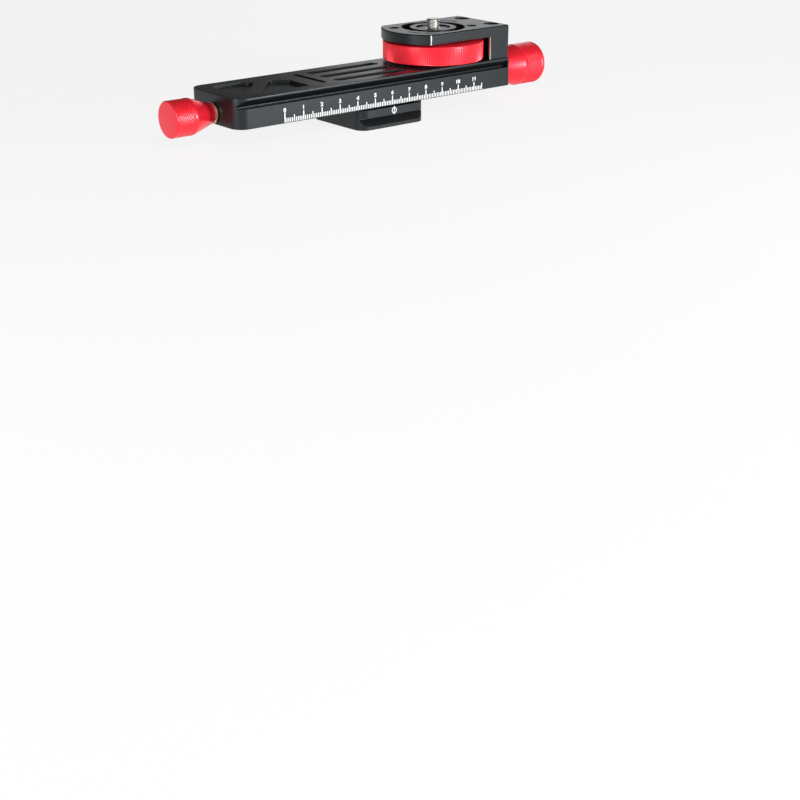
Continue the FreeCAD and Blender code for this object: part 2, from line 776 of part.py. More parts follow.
def cut_stage_holes(body):
    """Hub bore, counterbored screw holes, pin holes and dowel holes."""
    spread = size("bolt_spread")
    clearance = size("bolt_clearance")
    hub = sketch_on(body, "HubBoreOutline", "XY", plate_top)
    circle(hub, stage_x, 0.0, size("hub_radius") + size("bore_clearance"))
    pocket(body, "HubBore", hub, size("stage_plate"))
    shanks = sketch_on(body, "ShankHoleOutlines", "XY", plate_top)
    heads = sketch_on(body, "HeadHoleOutlines", "XY", plate_top)
    for side in (-1, 1):
        circle(shanks, bolt_x, spread * side, size("bolt_diameter") / 2 + clearance)
        circle(heads, bolt_x, spread * side, size("bolt_head") / 2 + clearance)
    pocket(body, "ShankHoles", shanks, plate_top - rail_top)
    pocket(body, "HeadHoles", heads, size("bolt_head_height") + size("bolt_sink"))
    pins = sketch_on(body, "PinHoleOutlines", "XY", plate_top)
    for side in (-1, 1):
        x = stage_x + size("pin_reach") * side
        circle(pins, x, size("pin_spread") * -side, size("pin_hole") / 2)
    pocket(body, "PinHoles", pins, size("stage_plate"))
    dowels = sketch_on(body, "DowelHoleOutlines", "XY", rail_top)
    for side in (-1, 1):
        circle(dowels, bolt_x, size("dowel_spread") * side, size("dowel_diameter") / 2)
    pocket(body, "DowelHoles", dowels, size("dowel_length") / 2, along=True)


def cut_stage_face(body):
    """Ring groove, curved slots and the broken top edge."""
    ring = sketch_on(body, "RingOutline", "XY", plate_top)
    circle(ring, stage_x, 0.0, size("ring_inner"))
    circle(ring, stage_x, 0.0, size("ring_outer"))
    pocket(body, "RingGroove", ring, size("ring_depth"))
    for number, turn in enumerate((0.0, 180.0), start=1):
        profile = sketch_on(body, "CurvedSlotProfile" + str(number), "XZ", across=stage_x)
        bind(profile, "AttachmentOffset.Rotation.Axis.x", 0.0)
        bind(profile, "AttachmentOffset.Rotation.Axis.y", 1.0)
        bind(profile, "AttachmentOffset.Rotation.Axis.z", 0.0)
        bind(profile, "AttachmentOffset.Rotation.Angle", size("arc_angle") + turn)
        inner = size("arc_radius") - size("arc_width") / 2
        low = plate_top - size("arc_depth")
        outer = inner + size("arc_width")
        rectangle(profile, (inner, low), (outer, plate_top + OVERCUT))
        groove = body.newObject("PartDesign::Groove", "CurvedSlot" + str(number))
        groove.Profile = profile
        groove.ReferenceAxis = (profile, ["V_Axis"])
        groove.Midplane = True
        bind(groove, "Angle", size("arc_span"))
        doc.recompute()
    rim_z = plain(plate_top)
    side_y = plain(half_stage)

    def is_rim(edge):
        box = edge.BoundBox
        at_top = abs(box.ZMin - rim_z) < 0.001 and abs(box.ZMax - rim_z) < 0.001
        straight_side = box.YLength < 0.01 and abs(abs(box.Center.y) - side_y) < 0.01
        end_side = box.XLength < 0.01 and abs(box.Center.x - plain(rail_right)) < 0.01
        round_side = box.XMin < plain(stage_x - size("stage_radius")) + 0.1
        return at_top and (straight_side or end_side or round_side)

    break_edges(body, "Chamfer", "PlateRim", is_rim, size("stage_edge"))


def make_stage_screw():
    """A cap screw with its head's seat on the origin and its shank hanging down."""
    body = new_body("stage_screw_pattern")
    head_seat = plate_top - size("bolt_sink") - size("bolt_head_height")
    shank = head_seat - rail_top + size("bolt_grip") - size("bolt_tip_room")
    profile = sketch_on(body, "ScrewProfile", "XZ")
    outline = [
        (0.0, -shank),
        (size("bolt_diameter") / 2, -shank),
        (size("bolt_diameter") / 2, 0.0),
        (size("bolt_head") / 2, 0.0),
        (size("bolt_head") / 2, size("bolt_head_height")),
        (0.0, size("bolt_head_height")),
    ]
    polygon(profile, outline)
    turned(body, "Screw", profile, "V_Axis")
    socket = sketch_on(body, "SocketOutline", "XY", size("bolt_head_height"))
    hexagon(socket, Size(0.0, "0"), Size(0.0, "0"), size("bolt_socket"))
    pocket(body, "Socket", socket, size("bolt_socket_depth"))
    places = [(bolt_x, size("bolt_spread") * side, head_seat) for side in (-1, 1)]
    return group("stage_screws", body, places)


def make_dowels():
    body = new_body("dowel_pattern")
    outline = sketch_on(body, "DowelOutline", "XY")
    circle(outline, 0.0, 0.0, size("dowel_diameter") / 2)
    pad(body, "Dowel", outline, size("dowel_length"))
    low = rail_top - size("dowel_length") / 2
    places = [(bolt_x, size("dowel_spread") * side, low) for side in (-1, 1)]
    return group("stage_dowels", body, places)


# Thumbwheel, its stud and its low-friction washers
def wheel_sketch(body, name):
    """A sketch in the upright plane of the wheel, with its second axis on the stud."""
    return sketch_on(body, name, "XZ", across=stage_x)


def make_thumbwheel():
    """The red ring that a finger turns, pressed on the hub."""
    body = new_body("thumbwheel")
    edge = size("wheel_edge")
    outline = [
        (size("hub_radius"), hub_bottom),
        (size("hub_radius"), hub_shoulder),
        (size("glide_outer"), hub_shoulder),
        (size("glide_outer"), wheel_top),
        (wheel_radius - edge, wheel_top),
        (wheel_radius, wheel_top - edge),
        (wheel_radius, wheel_bottom + edge),
        (wheel_radius - edge, wheel_bottom),
        (size("glide_outer"), wheel_bottom),
        (size("glide_outer"), hub_bottom),
    ]
    profile = wheel_sketch(body, "WheelProfile")
    polygon(profile, outline)
    turned(body, "Wheel", profile, "V_Axis")


def make_stage_hub():
    """The black hub that turns in the stage plate and holds the stud's flange from above."""
    body = new_body("stage_hub")
    recess_top = hub_bottom + size("stud_flange_thickness")
    recess = size("stud_flange") / 2
    outline = [
        (shank_radius, recess_top),
        (shank_radius, hub_top),
        (size("hub_radius"), hub_top),
        (size("hub_radius"), hub_bottom),
        (recess, hub_bottom),
        (recess, recess_top),
    ]
    profile = wheel_sketch(body, "HubProfile")
    polygon(profile, outline)
    turned(body, "Hub", profile, "V_Axis")
    holes = sketch_on(body, "FlangeThreadOutlines", "XY", recess_top)
    flange_screw_circles(holes)
    depth = size("flange_screw_length") - size("stud_flange_thickness")
    pocket(body, "FlangeThreads", holes, depth, along=True)


def flange_screw_offsets():
    """Where the flange screws lie round the stud."""
    ring = size("flange_screw_circle")
    turns = [2 * math.pi * number / 3 for number in range(3)]
    return [(ring * math.cos(turn), ring * math.sin(turn)) for turn in turns]


def flange_screw_circles(sketch):
    for x, y in flange_screw_offsets():
        circle(sketch, stage_x + x, y, size("flange_screw") / 2)


def make_camera_stud():
    body = new_body("camera_stud")
    recess_top = hub_bottom + size("stud_flange_thickness")
    tip = plate_top + size("stud_reach")
    outline = [
        (0.0, hub_bottom),
        (size("stud_flange") / 2, hub_bottom),
        (size("stud_flange") / 2, recess_top),
        (shank_radius, recess_top),
        (shank_radius, hub_top),
        (size("stud_relief") / 2, hub_top),
        (size("stud_relief") / 2, plate_top),
        (stud_radius, plate_top),
        (stud_radius, tip - size("stud_tip")),
        (stud_radius - size("stud_tip"), tip),
        (0.0, tip),
    ]
    profile = wheel_sketch(body, "StudProfile")
    polygon(profile, outline)
    turned(body, "Stud", profile, "V_Axis")
    holes = sketch_on(body, "FlangeHoleOutlines", "XY", hub_bottom)
    flange_screw_circles(holes)
    pocket(body, "FlangeHoles", holes, size("stud_flange_thickness"), along=True)
    sink = (size("flange_screw_head") - size("flange_screw")) / 2

    def is_hole_mouth(edge):
        flat = abs(middle_of(edge).z - plain(hub_bottom)) < 0.001
        round_edge = edge.Curve.TypeId == "Part::GeomCircle"
        return flat and round_edge and edge.Curve.Radius < plain(size("flange_screw"))

    break_edges(body, "Chamfer", "Countersinks", is_hole_mouth, sink)


def make_glide_washer(label, low):
    body = new_body(label)
    profile = wheel_sketch(body, "WasherProfile")
    high = low + size("glide_thickness")
    rectangle(profile, (size("glide_inner"), low), (size("glide_outer"), high))
    turned(body, "Washer", profile, "V_Axis")


make_foot()
make_slide_strip("front_slide_strip", -1)
make_slide_strip("rear_slide_strip", 1)
make_drive_nut()
slide_screw = countersunk_screw(
    "slide_screw_pattern",
    size("slide_screw"),
    size("slide_screw_head"),
    size("slide_screw_length"),
    size("slide_screw_socket"),
)
group("strip_screws", slide_screw, [(x, y, 0.0) for x, y in slide_screw_places])
group("nut_screws", slide_screw, [(x, y, 0.0) for x, y in nut_screw_places])
make_rail()
make_bush("left_bush", rail_left, channel_left, -1)
make_bush("right_bush", rail_right, channel_right, 1)
make_stage_bracket()
make_stage_screw()
make_dowels()
make_lead_screw()
make_washer("left_thrust_washer", rail_left, -1)
make_washer("right_thrust_washer", rail_right, 1)
make_knob("small_knob", rail_left, -1)
make_knob("large_knob", rail_right, 1)
make_thumbwheel()
make_stage_hub()
make_camera_stud()
flange_screw = countersunk_screw(
    "flange_screw_pattern",
    size("flange_screw"),
    size("flange_screw_head"),
    size("flange_screw_length"),
    size("flange_screw_socket"),
)
places = [(stage_x + x, y, hub_bottom) for x, y in flange_screw_offsets()]
group("flange_screws", flange_screw, places)
make_glide_washer("lower_glide_washer", rail_top)
make_glide_washer("upper_glide_washer", hub_shoulder)
doc.recompute()

nodes = [
    "dovetail_foot",
    "front_slide_strip",
    "rear_slide_strip",
    "drive_nut",
    "strip_screws",
    "nut_screws",
    "rail_body",
    "left_bush",
    "right_bush",
    "stage_bracket",
    "stage_screws",
    "stage_dowels",
    "lower_glide_washer",
    "lead_screw",
    "left_thrust_washer",
    "right_thrust_washer",
    "small_knob",
    "small_knob_grub_screw",
    "large_knob",
    "large_knob_grub_screw",
    "thumbwheel",
    "stage_hub",
    "camera_stud",
    "flange_screws",
    "upper_glide_washer",
]

for item in doc.Objects:
    if "Invalid" in item.State or "Error" in item.State:
        raise RuntimeError(item.Name + " did not build: " + str(item.State))

os.makedirs("parts", exist_ok=True)
for node in nodes:
    item = doc.getObject(node)
    shape = item.Shape
    if shape.isNull() or not shape.isValid():
        raise RuntimeError(node + " has no valid shape")
    shape.exportStep("parts/" + item.Label + ".step")
    print(node, "solids", len(shape.Solids), "volume", round(shape.Volume, 1))
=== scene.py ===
import json
import math

import bmesh
import bpy
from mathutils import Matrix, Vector


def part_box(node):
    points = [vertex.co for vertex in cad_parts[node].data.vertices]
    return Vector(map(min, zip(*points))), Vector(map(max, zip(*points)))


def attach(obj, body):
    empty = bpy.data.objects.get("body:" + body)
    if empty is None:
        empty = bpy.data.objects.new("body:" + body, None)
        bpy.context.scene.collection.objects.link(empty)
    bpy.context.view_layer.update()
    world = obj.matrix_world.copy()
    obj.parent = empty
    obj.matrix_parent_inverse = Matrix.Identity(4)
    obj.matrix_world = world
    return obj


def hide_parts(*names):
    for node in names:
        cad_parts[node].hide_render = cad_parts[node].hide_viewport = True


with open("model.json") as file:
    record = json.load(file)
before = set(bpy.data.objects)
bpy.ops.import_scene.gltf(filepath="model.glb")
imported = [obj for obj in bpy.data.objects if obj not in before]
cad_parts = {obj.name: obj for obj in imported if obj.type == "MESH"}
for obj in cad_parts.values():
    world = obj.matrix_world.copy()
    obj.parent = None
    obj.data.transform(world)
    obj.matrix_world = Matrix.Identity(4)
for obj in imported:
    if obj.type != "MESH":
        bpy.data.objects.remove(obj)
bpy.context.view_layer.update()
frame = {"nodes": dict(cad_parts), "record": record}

# Macro focusing rail dressed round its CAD frame. Lengths are in metres, +Z up,
# the rail runs along X and its scale faces -Y.

MM = 0.001

# The frame's own places
rail_low, rail_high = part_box("rail_body")
foot_low, foot_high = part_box("dovetail_foot")
wheel_low, wheel_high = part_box("thumbwheel")
stud_low, stud_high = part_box("camera_stud")
screw_low, screw_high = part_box("lead_screw")
small_low, small_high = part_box("small_knob")
large_low, large_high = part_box("large_knob")
hub_low, hub_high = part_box("stage_hub")
plate_low, plate_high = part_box("stage_bracket")
screw_z = (screw_low.z + screw_high.z) / 2
stage_x = (stud_low.x + stud_high.x) / 2
plate_top = plate_high.z

# Scale and index mark
scale_zero = rail_low.x + 24.2 * MM
scale_end = 115
tick_width = 0.44 * MM
long_tick_width = 0.52 * MM
tick_start = 0.3 * MM
millimetre_tick = 2.2 * MM
half_tick = 3.3 * MM
centimetre_tick = 4.3 * MM
zero_tick = 4.8 * MM
number_middle = 5.75 * MM
number_height = 1.9 * MM
number_stretch = 1.15
print_depth = 0.03 * MM
mark_outer = 1.4 * MM
mark_inner = 1.02 * MM
mark_line = 3.6 * MM
mark_line_width = 0.36 * MM

# Edges, knurls and threads
sharp_angle = math.radians(33)
grub_radius = 1.5 * MM
grub_inset = 4.2 * MM
diamond_pitch = 1.3 * MM
diamond_depth = 0.28 * MM
rim_ridges = 164
rim_depth = 0.26 * MM
stud_pitch = 1.27 * MM
stud_thread_depth = 0.6 * MM
screw_pitch = 1.25 * MM
screw_thread_depth = 0.55 * MM


SEEN_DIRECTLY = ("Is Camera Ray", "Is Glossy Ray", "Is Transmission Ray")


class Value:
    """A socket in a finish. Arithmetic on it adds Math nodes."""

    def __init__(self, finish, socket):
        self.finish = finish
        self.socket = socket

    def maths(self, operation, first, second):
        return self.finish.node("ShaderNodeMath", {"operation": operation}, {0: first, 1: second})

    def __add__(self, other):
        return self.maths("ADD", self, other)

    def __radd__(self, other):
        return self.maths("ADD", other, self)

    def __mul__(self, other):
        return self.maths("MULTIPLY", self, other)

    def __rmul__(self, other):
        return self.maths("MULTIPLY", other, self)


class Finish:
    """A material with its nodes."""

    def __init__(self, name, **constants):
        self.material = bpy.data.materials.new(name)
        self.material.use_nodes = True
        self.tree = self.material.node_tree
        self.surface = self.tree.nodes["Principled BSDF"]
        for key, value in constants.items():
            socket_name = key.replace("_", " ").title().replace("Ior", "IOR")
            self.surface.inputs[socket_name].default_value = value

    def node(self, kind, settings=None, inputs=None, output=0):
        """A node with its settings, then the values or links of its sockets."""
        made = self.tree.nodes.new(kind)
        for key, value in (settings or {}).items():
            setattr(made, key, value)
        for key, value in (inputs or {}).items():
            self.feed(made.inputs[key], value)
        return Value(self, made.outputs[output])

    def feed(self, socket, value):
        if isinstance(value, Value):
            self.tree.links.new(value.socket, socket)
        else:
            socket.default_value = value

    def set(self, name, value):
        self.feed(self.surface.inputs[name], value)

    def place(self, stretch=(1.0, 1.0, 1.0)):
        """The piece's own coordinates, stretched."""
        own = self.node("ShaderNodeTexCoord", output="Object")
        return self.node("ShaderNodeVectorMath", {"operation": "MULTIPLY"}, {0: own, 1: stretch})

    def grain(self, size, stretch=(1.0, 1.0, 1.0), detail=3.0):
        """Noise from 0 to 1 whose grains are of that size in metres."""
        sockets = {"Vector": self.place(stretch), "Scale": 1.0 / size, "Detail": detail}
        return self.node("ShaderNodeTexNoise", inputs=sockets)

    def blend(self, factor, first, second):
        """A colour between two."""
        made = self.tree.nodes.new("ShaderNodeMix")
        made.data_type = "RGBA"
        self.feed(made.inputs[0], factor)
        self.feed(made.inputs[6], (*first, 1.0))
        self.feed(made.inputs[7], (*second, 1.0))
        return Value(self, made.outputs[2])

    def bump(self, height, depth):
        sockets = {"Height": height, "Distance": depth, "Strength": 1.0}
        self.set("Normal", self.node("ShaderNodeBump", inputs=sockets))

    def show_as_white(self, share):
        """Blend in plain white where the camera or a reflection looks at the surface."""
        rays = [self.node("ShaderNodeLightPath", output=kind) for kind in SEEN_DIRECTLY]
        white = self.node("ShaderNodeEmission", inputs={"Color": (1.0, 1.0, 1.0, 1.0), "Strength": 1.0})
        paint = Value(self, self.surface.outputs[0])
        factor = share * (rays[0] + rays[1] + rays[2])
        mixed = self.node("ShaderNodeMixShader", inputs={0: factor, 1: paint, 2: white})
        self.feed(self.tree.nodes["Material Output"].inputs["Surface"], mixed)


def black_anodising(name, low, high, rough):
    """Dyed oxide on blasted aluminium: a fine even grit with a soft sheen."""
    finish = Finish(name, ior=1.44, specular_tint=(0.86, 0.96, 1.0, 1.0))
    cloud = finish.grain(6 * MM)
    grit = finish.grain(0.16 * MM, detail=2.0)
    finish.set("Base Color", finish.blend(cloud, low, high))
    finish.set("Roughness", rough + 0.06 * cloud + 0.05 * grit)
    finish.bump(grit, 0.004 * MM)
    return finish.material


def red_anodising(name, rough):
    finish = Finish(name, ior=1.5, coat_weight=0.4, coat_roughness=0.25, coat_ior=1.5)
    cloud = finish.grain(4 * MM)
    grit = finish.grain(0.14 * MM, detail=2.0)
    finish.set("Base Color", finish.blend(cloud, (0.93, 0.009, 0.026), (0.97, 0.014, 0.036)))
    finish.set("Metallic", 0.45)
    finish.set("Roughness", rough + 0.08 * cloud + 0.05 * grit)
    finish.bump(grit, 0.004 * MM)
    return finish.material


def turned_metal(name, low, high, rough, along=(1.0, 1.0, 12.0)):
    """Bare metal with fine tool marks."""
    finish = Finish(name)
    marks = finish.grain(0.6 * MM, stretch=along)
    cloud = finish.grain(3 * MM)
    finish.set("Base Color", finish.blend(cloud, low, high))
    finish.set("Metallic", 1.0)
    finish.set("Roughness", rough + 0.12 * marks)
    finish.bump(marks, 0.004 * MM)
    return finish.material


def moulded_plastic(name, low, high, rough):
    finish = Finish(name, ior=1.48, subsurface_weight=0.05)
    cloud = finish.grain(5 * MM)
    grit = finish.grain(0.25 * MM)
    finish.set("Base Color", finish.blend(cloud, low, high))
    finish.set("Roughness", rough + 0.1 * grit)
    finish.bump(grit, 0.008 * MM)
    return finish.material


def white_print(name):
    finish = Finish(name)
    patches = finish.grain(0.5 * MM)
    finish.set("Base Color", finish.blend(patches, (0.84, 0.85, 0.86), (0.92, 0.93, 0.94)))
    finish.set("Roughness", 0.5 + 0.15 * patches)
    finish.bump(patches, 0.004 * MM)
    return finish.material


finishes = {
    "black_anodised": black_anodising(
        "black_anodised", (0.004, 0.0045, 0.005), (0.008, 0.0085, 0.0095), 0.33
    ),
    "red_anodised": red_anodising("red_anodised", 0.30),
    "acetal": moulded_plastic("acetal", (0.70, 0.69, 0.65), (0.78, 0.77, 0.73), 0.38),
    "glide_plastic": moulded_plastic("glide_plastic", (0.78, 0.78, 0.76), (0.84, 0.84, 0.82), 0.35),
    "brass": turned_metal("brass", (0.93, 0.68, 0.45), (0.98, 0.76, 0.55), 0.42, (12.0, 1.0, 1.0)),
    "bronze": turned_metal("bronze", (0.10, 0.065, 0.035), (0.16, 0.10, 0.05), 0.3, (12.0, 1.0, 1.0)),
    "steel": turned_metal("steel", (0.60, 0.58, 0.55), (0.70, 0.68, 0.65), 0.3),
    # Painted highlight: bright silver metal laid on the stage plate's upright edge chamfers, so that
    # they show as thin bright lines on the black anodising
    "edge_highlight_paint": turned_metal("edge_highlight_paint", (0.70, 0.71, 0.72), (0.78, 0.79, 0.80), 0.25),
    "white_print": white_print("white_print"),
    "black_steel": turned_metal("black_steel", (0.025, 0.025, 0.027), (0.04, 0.04, 0.042), 0.3),
}

for part in frame["record"]["subparts"]:
    node = frame["nodes"][part["node"]]
    node.data.materials.clear()
    node.data.materials.append(finishes[part["material_slot"]])


def new_piece(name, points, faces, material, body, smooth_angle=None):
    """A mesh piece that rides on a body."""
    mesh = bpy.data.meshes.new(name)
    mesh.from_pydata(points, [], faces)
    mesh.materials.append(material)
    piece = bpy.data.objects.new(name, mesh)
    bpy.context.scene.collection.objects.link(piece)
    build = bmesh.new()
    build.from_mesh(mesh)
    bmesh.ops.remove_doubles(build, verts=build.verts, dist=0.0005 * MM)
    bmesh.ops.recalc_face_normals(build, faces=build.faces)
    if smooth_angle is not None:
        for face in build.faces:
            face.smooth = True
        for edge in build.edges:
            edge.smooth = len(edge.link_faces) == 2 and edge.calc_face_angle(0.0) < smooth_angle
    build.to_mesh(mesh)
    build.free()
    if body:
        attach(piece, body)
    return piece


def turned_piece(name, profile, columns, place, material, body, cut=None, smooth_angle=0.6):
    """A solid turned round an axis. profile runs from axis to axis as (along, radius, cut depth);
    cut gives from 0 to 1 how deep the cut is at a column and an along."""
    points, rings, faces = [], [], []
    for row, (along, radius, depth) in enumerate(profile):
        ring = []
        for column in range(columns if radius > 0 else 1):
            angle = 2 * math.pi * column / columns
            reach = radius - (depth * cut(column, row, angle, along) if depth else 0.0)
            ring.append(len(points))
            points.append(place(along, reach, angle))
        rings.append(ring)
    for first, second in zip(rings, rings[1:]):
        for column in range(columns):
            a = first[column % len(first)]
            b = first[(column + 1) % len(first)]
            c = second[(column + 1) % len(second)]
            d = second[column % len(second)]
            corners = list(dict.fromkeys((a, b, c, d)))
            if len(corners) > 2:
                faces.append(corners)
    return new_piece(name, points, faces, material, body, smooth_angle)


def across_screw(along, radius, angle):
    """A point round the lead screw's axis."""
    return (along, radius * math.sin(angle), screw_z + radius * math.cos(angle))


def round_stud(along, radius, angle):
    """A point round the camera stud's axis."""
    return (stage_x + radius * math.cos(angle), radius * math.sin(angle), along)


# Black pieces with their edges broken
def is_sharp(edge):
    return len(edge.link_faces) == 2 and edge.is_convex and edge.calc_face_angle(0.0) > sharp_angle


def widen_edges(build, width, is_chosen, segments, finish_index):
    """Break the sharp edges that a test picks before the fine rounding of all edges."""
    chosen = []
    for edge in build.edges:
        if is_sharp(edge) and is_chosen(*(vertex.co for vertex in edge.verts)):
            chosen.append(edge)
    bmesh.ops.bevel(
        build,
        geom=chosen,
        offset=width,
        segments=segments,
        profile=0.5,
        affect="EDGES",
        clamp_overlap=True,
        material=finish_index,
    )


def is_plate_upright(first, second):
    """Upright edges where the stage plate's sides begin and where they end at the throat."""
    length = (first - second).length
    is_upright = length > 4 * MM and abs(first.z - second.z) > 0.99 * length
    return is_upright and abs(first.y) > 10 * MM and first.x < plate_high.x - 1 * MM


def is_rail_rim(first, second):
    """Outline of the rail's top face."""
    for point in (first, second):
        at_side = abs(point.y) > rail_high.y - 0.1 * MM
        at_end = point.x < rail_low.x + 5.8 * MM
        if point.z < rail_high.z - 0.01 * MM or not (at_side or at_end):
            return False
    return True


def broken_edges(name, body, width, wide=0.0, is_wide=None, segments=5, painted_highlight=False):
    """A copy of a CAD node whose sharp edges are rounded, so that they catch the light."""
    node = frame["nodes"][name]
    mesh = node.data.copy()
    mesh.transform(node.matrix_world)
    piece = bpy.data.objects.new(name + "_edged", mesh)
    bpy.context.scene.collection.objects.link(piece)
    build = bmesh.new()
    build.from_mesh(mesh)
    bmesh.ops.remove_doubles(build, verts=build.verts, dist=0.002 * MM)
    bmesh.ops.dissolve_limit(build, angle_limit=math.radians(0.5), verts=build.verts, edges=build.edges)
    # The widened chamfers can take the silver finish, a painted highlight that shows them as bright
    # lines
    if painted_highlight:
        mesh.materials.append(finishes["edge_highlight_paint"])
    if is_wide:
        widen_edges(build, wide, is_wide, segments, 1 if painted_highlight else -1)
    weight = build.edges.layers.float.new("bevel_weight_edge")
    for edge in build.edges:
        edge[weight] = 1.0 if is_sharp(edge) else 0.0
    for face in build.faces:
        face.smooth = True
    for edge in build.edges:
        finish_indices = {face.material_index for face in edge.link_faces}
        edge.smooth = len(finish_indices) == 1 and edge.calc_face_angle(9.0) < sharp_angle
    build.to_mesh(mesh)
    build.free()
    rounding = piece.modifiers.new("rounding", "BEVEL")
    rounding.width = width
    rounding.segments = 3
    rounding.limit_method = "WEIGHT"
    rounding.harden_normals = True
    rounding.miter_outer = "MITER_ARC"
    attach(piece, body)
    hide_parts(name)


broken_edges("rail_body", "rail", 0.18 * MM, 0.3 * MM, is_rail_rim)
# The plate's upright edges get silver chamfers: a painted highlight of two thin bright lines
broken_edges("stage_bracket", "rail", 0.26 * MM, 0.28 * MM, is_plate_upright, segments=1, painted_highlight=True)
broken_edges("dovetail_foot", "carriage", 0.25 * MM)
broken_edges("stage_hub", "stage_wheel", 0.12 * MM)


# Knobs
def diamonds(column, row, angle, along):
    """Crossing grooves, four columns and four rows to a diamond."""
    levels = (1.0, 0.4, 0.0, 0.4)
    return max(levels[(column + row) % 4], levels[(column - row) % 4])


def drill(piece, middle, radius, depth):
    """A round hole straight up into a piece, from below."""
    drill_bit = turned_piece(
        "drill",
        [(0.0, 0.0, 0.0), (0.0, radius, 0.0), (depth, radius, 0.0), (depth, 0.0, 0.0)],
        32,
        lambda along, reach, angle: (
            middle[0] + reach * math.cos(angle),
            middle[1] + reach * math.sin(angle),
            middle[2] + along,
        ),
        piece.data.materials[0],
        None,
    )
    cut = piece.modifiers.new("hole", "BOOLEAN")
    cut.operation = "DIFFERENCE"
    cut.object = drill_bit
    bpy.context.view_layer.update()
    drilled = piece.evaluated_get(bpy.context.evaluated_depsgraph_get())
    mesh = bpy.data.meshes.new_from_object(drilled)
    piece.modifiers.clear()
    piece.data = mesh
    bpy.data.objects.remove(drill_bit)


def make_knob(name, nose, outward, grip, edge):
    """A knob with a smooth cone and a knurled grip. nose is where the cone starts."""
    low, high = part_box(name)
    radius = (high.z - low.z) / 2
    cone = high.x - low.x - grip
    shoulder = nose + cone * outward
    end = shoulder + grip * outward
    lead_in = 1.2 * MM
    nose_edge = 0.25 * MM
    profile = [(nose, 0.0, 0.0), (nose, knob_nose - nose_edge, 0.0)]
    profile.append((nose + nose_edge * outward, knob_nose, 0.0))
    profile.append((shoulder - 0.15 * MM * outward, radius - 0.1 * MM, 0.0))
    profile.append((shoulder + 0.1 * MM * outward, radius, 0.0))
    step = diamond_pitch / 4
    knurl_length = grip - lead_in - edge - 0.2 * MM
    rows = round(knurl_length / step)
    for row in range(rows + 1):
        fade = min(1.0, row / 2, (rows - row) / 2)
        place = shoulder + (lead_in + knurl_length * row / rows) * outward
        profile.append((place, radius, diamond_depth * fade))
    turns = 6
    for turn in range(turns + 1):
        angle = math.pi / 2 * turn / turns
        along = end - edge * (1 - math.sin(angle)) * outward
        profile.append((along, radius - edge * (1 - math.cos(angle)), 0.0))
    profile.append((end, 0.0, 0.0))
    columns = 4 * round(2 * math.pi * radius / diamond_pitch)
    piece = turned_piece(
        name + "_knurled",
        profile,
        columns,
        across_screw,
        finishes["red_anodised"],
        "screw_and_knobs",
        diamonds,
    )
    grub_x = nose + grub_inset * outward
    drill(piece, (grub_x, 0.0, screw_z - radius), grub_radius, radius - 2.5 * MM)
    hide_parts(name)


knob_nose = 4.45 * MM
make_knob("small_knob", small_high.x, -1, 10.5 * MM, 0.6 * MM)
make_knob("large_knob", large_low.x, 1, 14.2 * MM, 1.8 * MM)


# Thumbwheel
def ridges(column, row, angle, along):
    """Straight fine grooves across the rim, four columns to a ridge."""
    return (0.0, 0.0, 1.0, 1.0)[column % 4]


def make_thumbwheel():
    """The red ring on the black hub."""
    radius = (wheel_high.x - wheel_low.x) / 2
    hub = (hub_high.x - hub_low.x) / 2
    edge = 0.5 * MM
    rim_bottom = rail_high.z + 1.15 * MM
    rim_top = rim_bottom + 8.7 * MM
    glide = 11 * MM
    profile = [
        (wheel_low.z, hub, 0.0),
        (wheel_low.z, glide, 0.0),
        (rim_bottom, glide, 0.0),
        (rim_bottom, radius - edge, 0.0),
        (rim_bottom + 0.5 * edge, radius - 0.15 * edge, 0.0),
        (rim_bottom + edge, radius, rim_depth),
        (rim_top - edge, radius, rim_depth),
        (rim_top - 0.5 * edge, radius - 0.15 * edge, 0.0),
        (rim_top, radius - edge, 0.0),
        (rim_top, glide, 0.0),
        (wheel_high.z, glide, 0.0),
        (wheel_high.z, hub, 0.0),
        (wheel_low.z, hub, 0.0),
    ]
    piece = turned_piece(
        "thumbwheel_knurled",
        profile,
        4 * rim_ridges,
        round_stud,
        finishes["red_anodised"],
        "stage_wheel",
        ridges,
    )
    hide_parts("thumbwheel")


make_thumbwheel()


# Threads
def helix(pitch):
    """How deep a right-handed thread is cut at an angle and a height."""

    def cut(column, row, angle, along):
        phase = (along / pitch - angle / (2 * math.pi)) % 1.0
        slope = abs(phase - 0.5) * 2
        return min(1.0, max(0.0, (slope - 0.12) / 0.76))

    return cut


def make_stud():
    tip = 0.6 * MM
    radius = 3.175 * MM
    shank = 3.5 * MM
    flange = 7 * MM
    flange_top = stud_low.z + 1.8 * MM
    relief = radius - stud_thread_depth
    profile = [
        (stud_low.z, 0.0, 0.0),
        (stud_low.z, flange, 0.0),
        (flange_top, flange, 0.0),
        (flange_top, shank, 0.0),
        (hub_high.z, shank, 0.0),
        (hub_high.z, relief, 0.0),
    ]
    rows = 72
    length = stud_high.z - hub_high.z
    for row in range(1, rows + 1):
        along = hub_high.z + length * row / rows
        full = radius - max(0.0, along - (stud_high.z - tip)) * 0.9
        start = min(1.0, (row / rows * length) / (0.5 * MM))
        outer = relief + (full - relief) * start
        profile.append((along, outer, max(0.0, outer - relief)))
    profile.append((stud_high.z, 0.0, 0.0))
    piece = turned_piece(
        "camera_stud_threaded",
        profile,
        72,
        round_stud,
        finishes["steel"],
        "stage_wheel",
        helix(stud_pitch),
        0.9,
    )
    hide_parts("camera_stud")


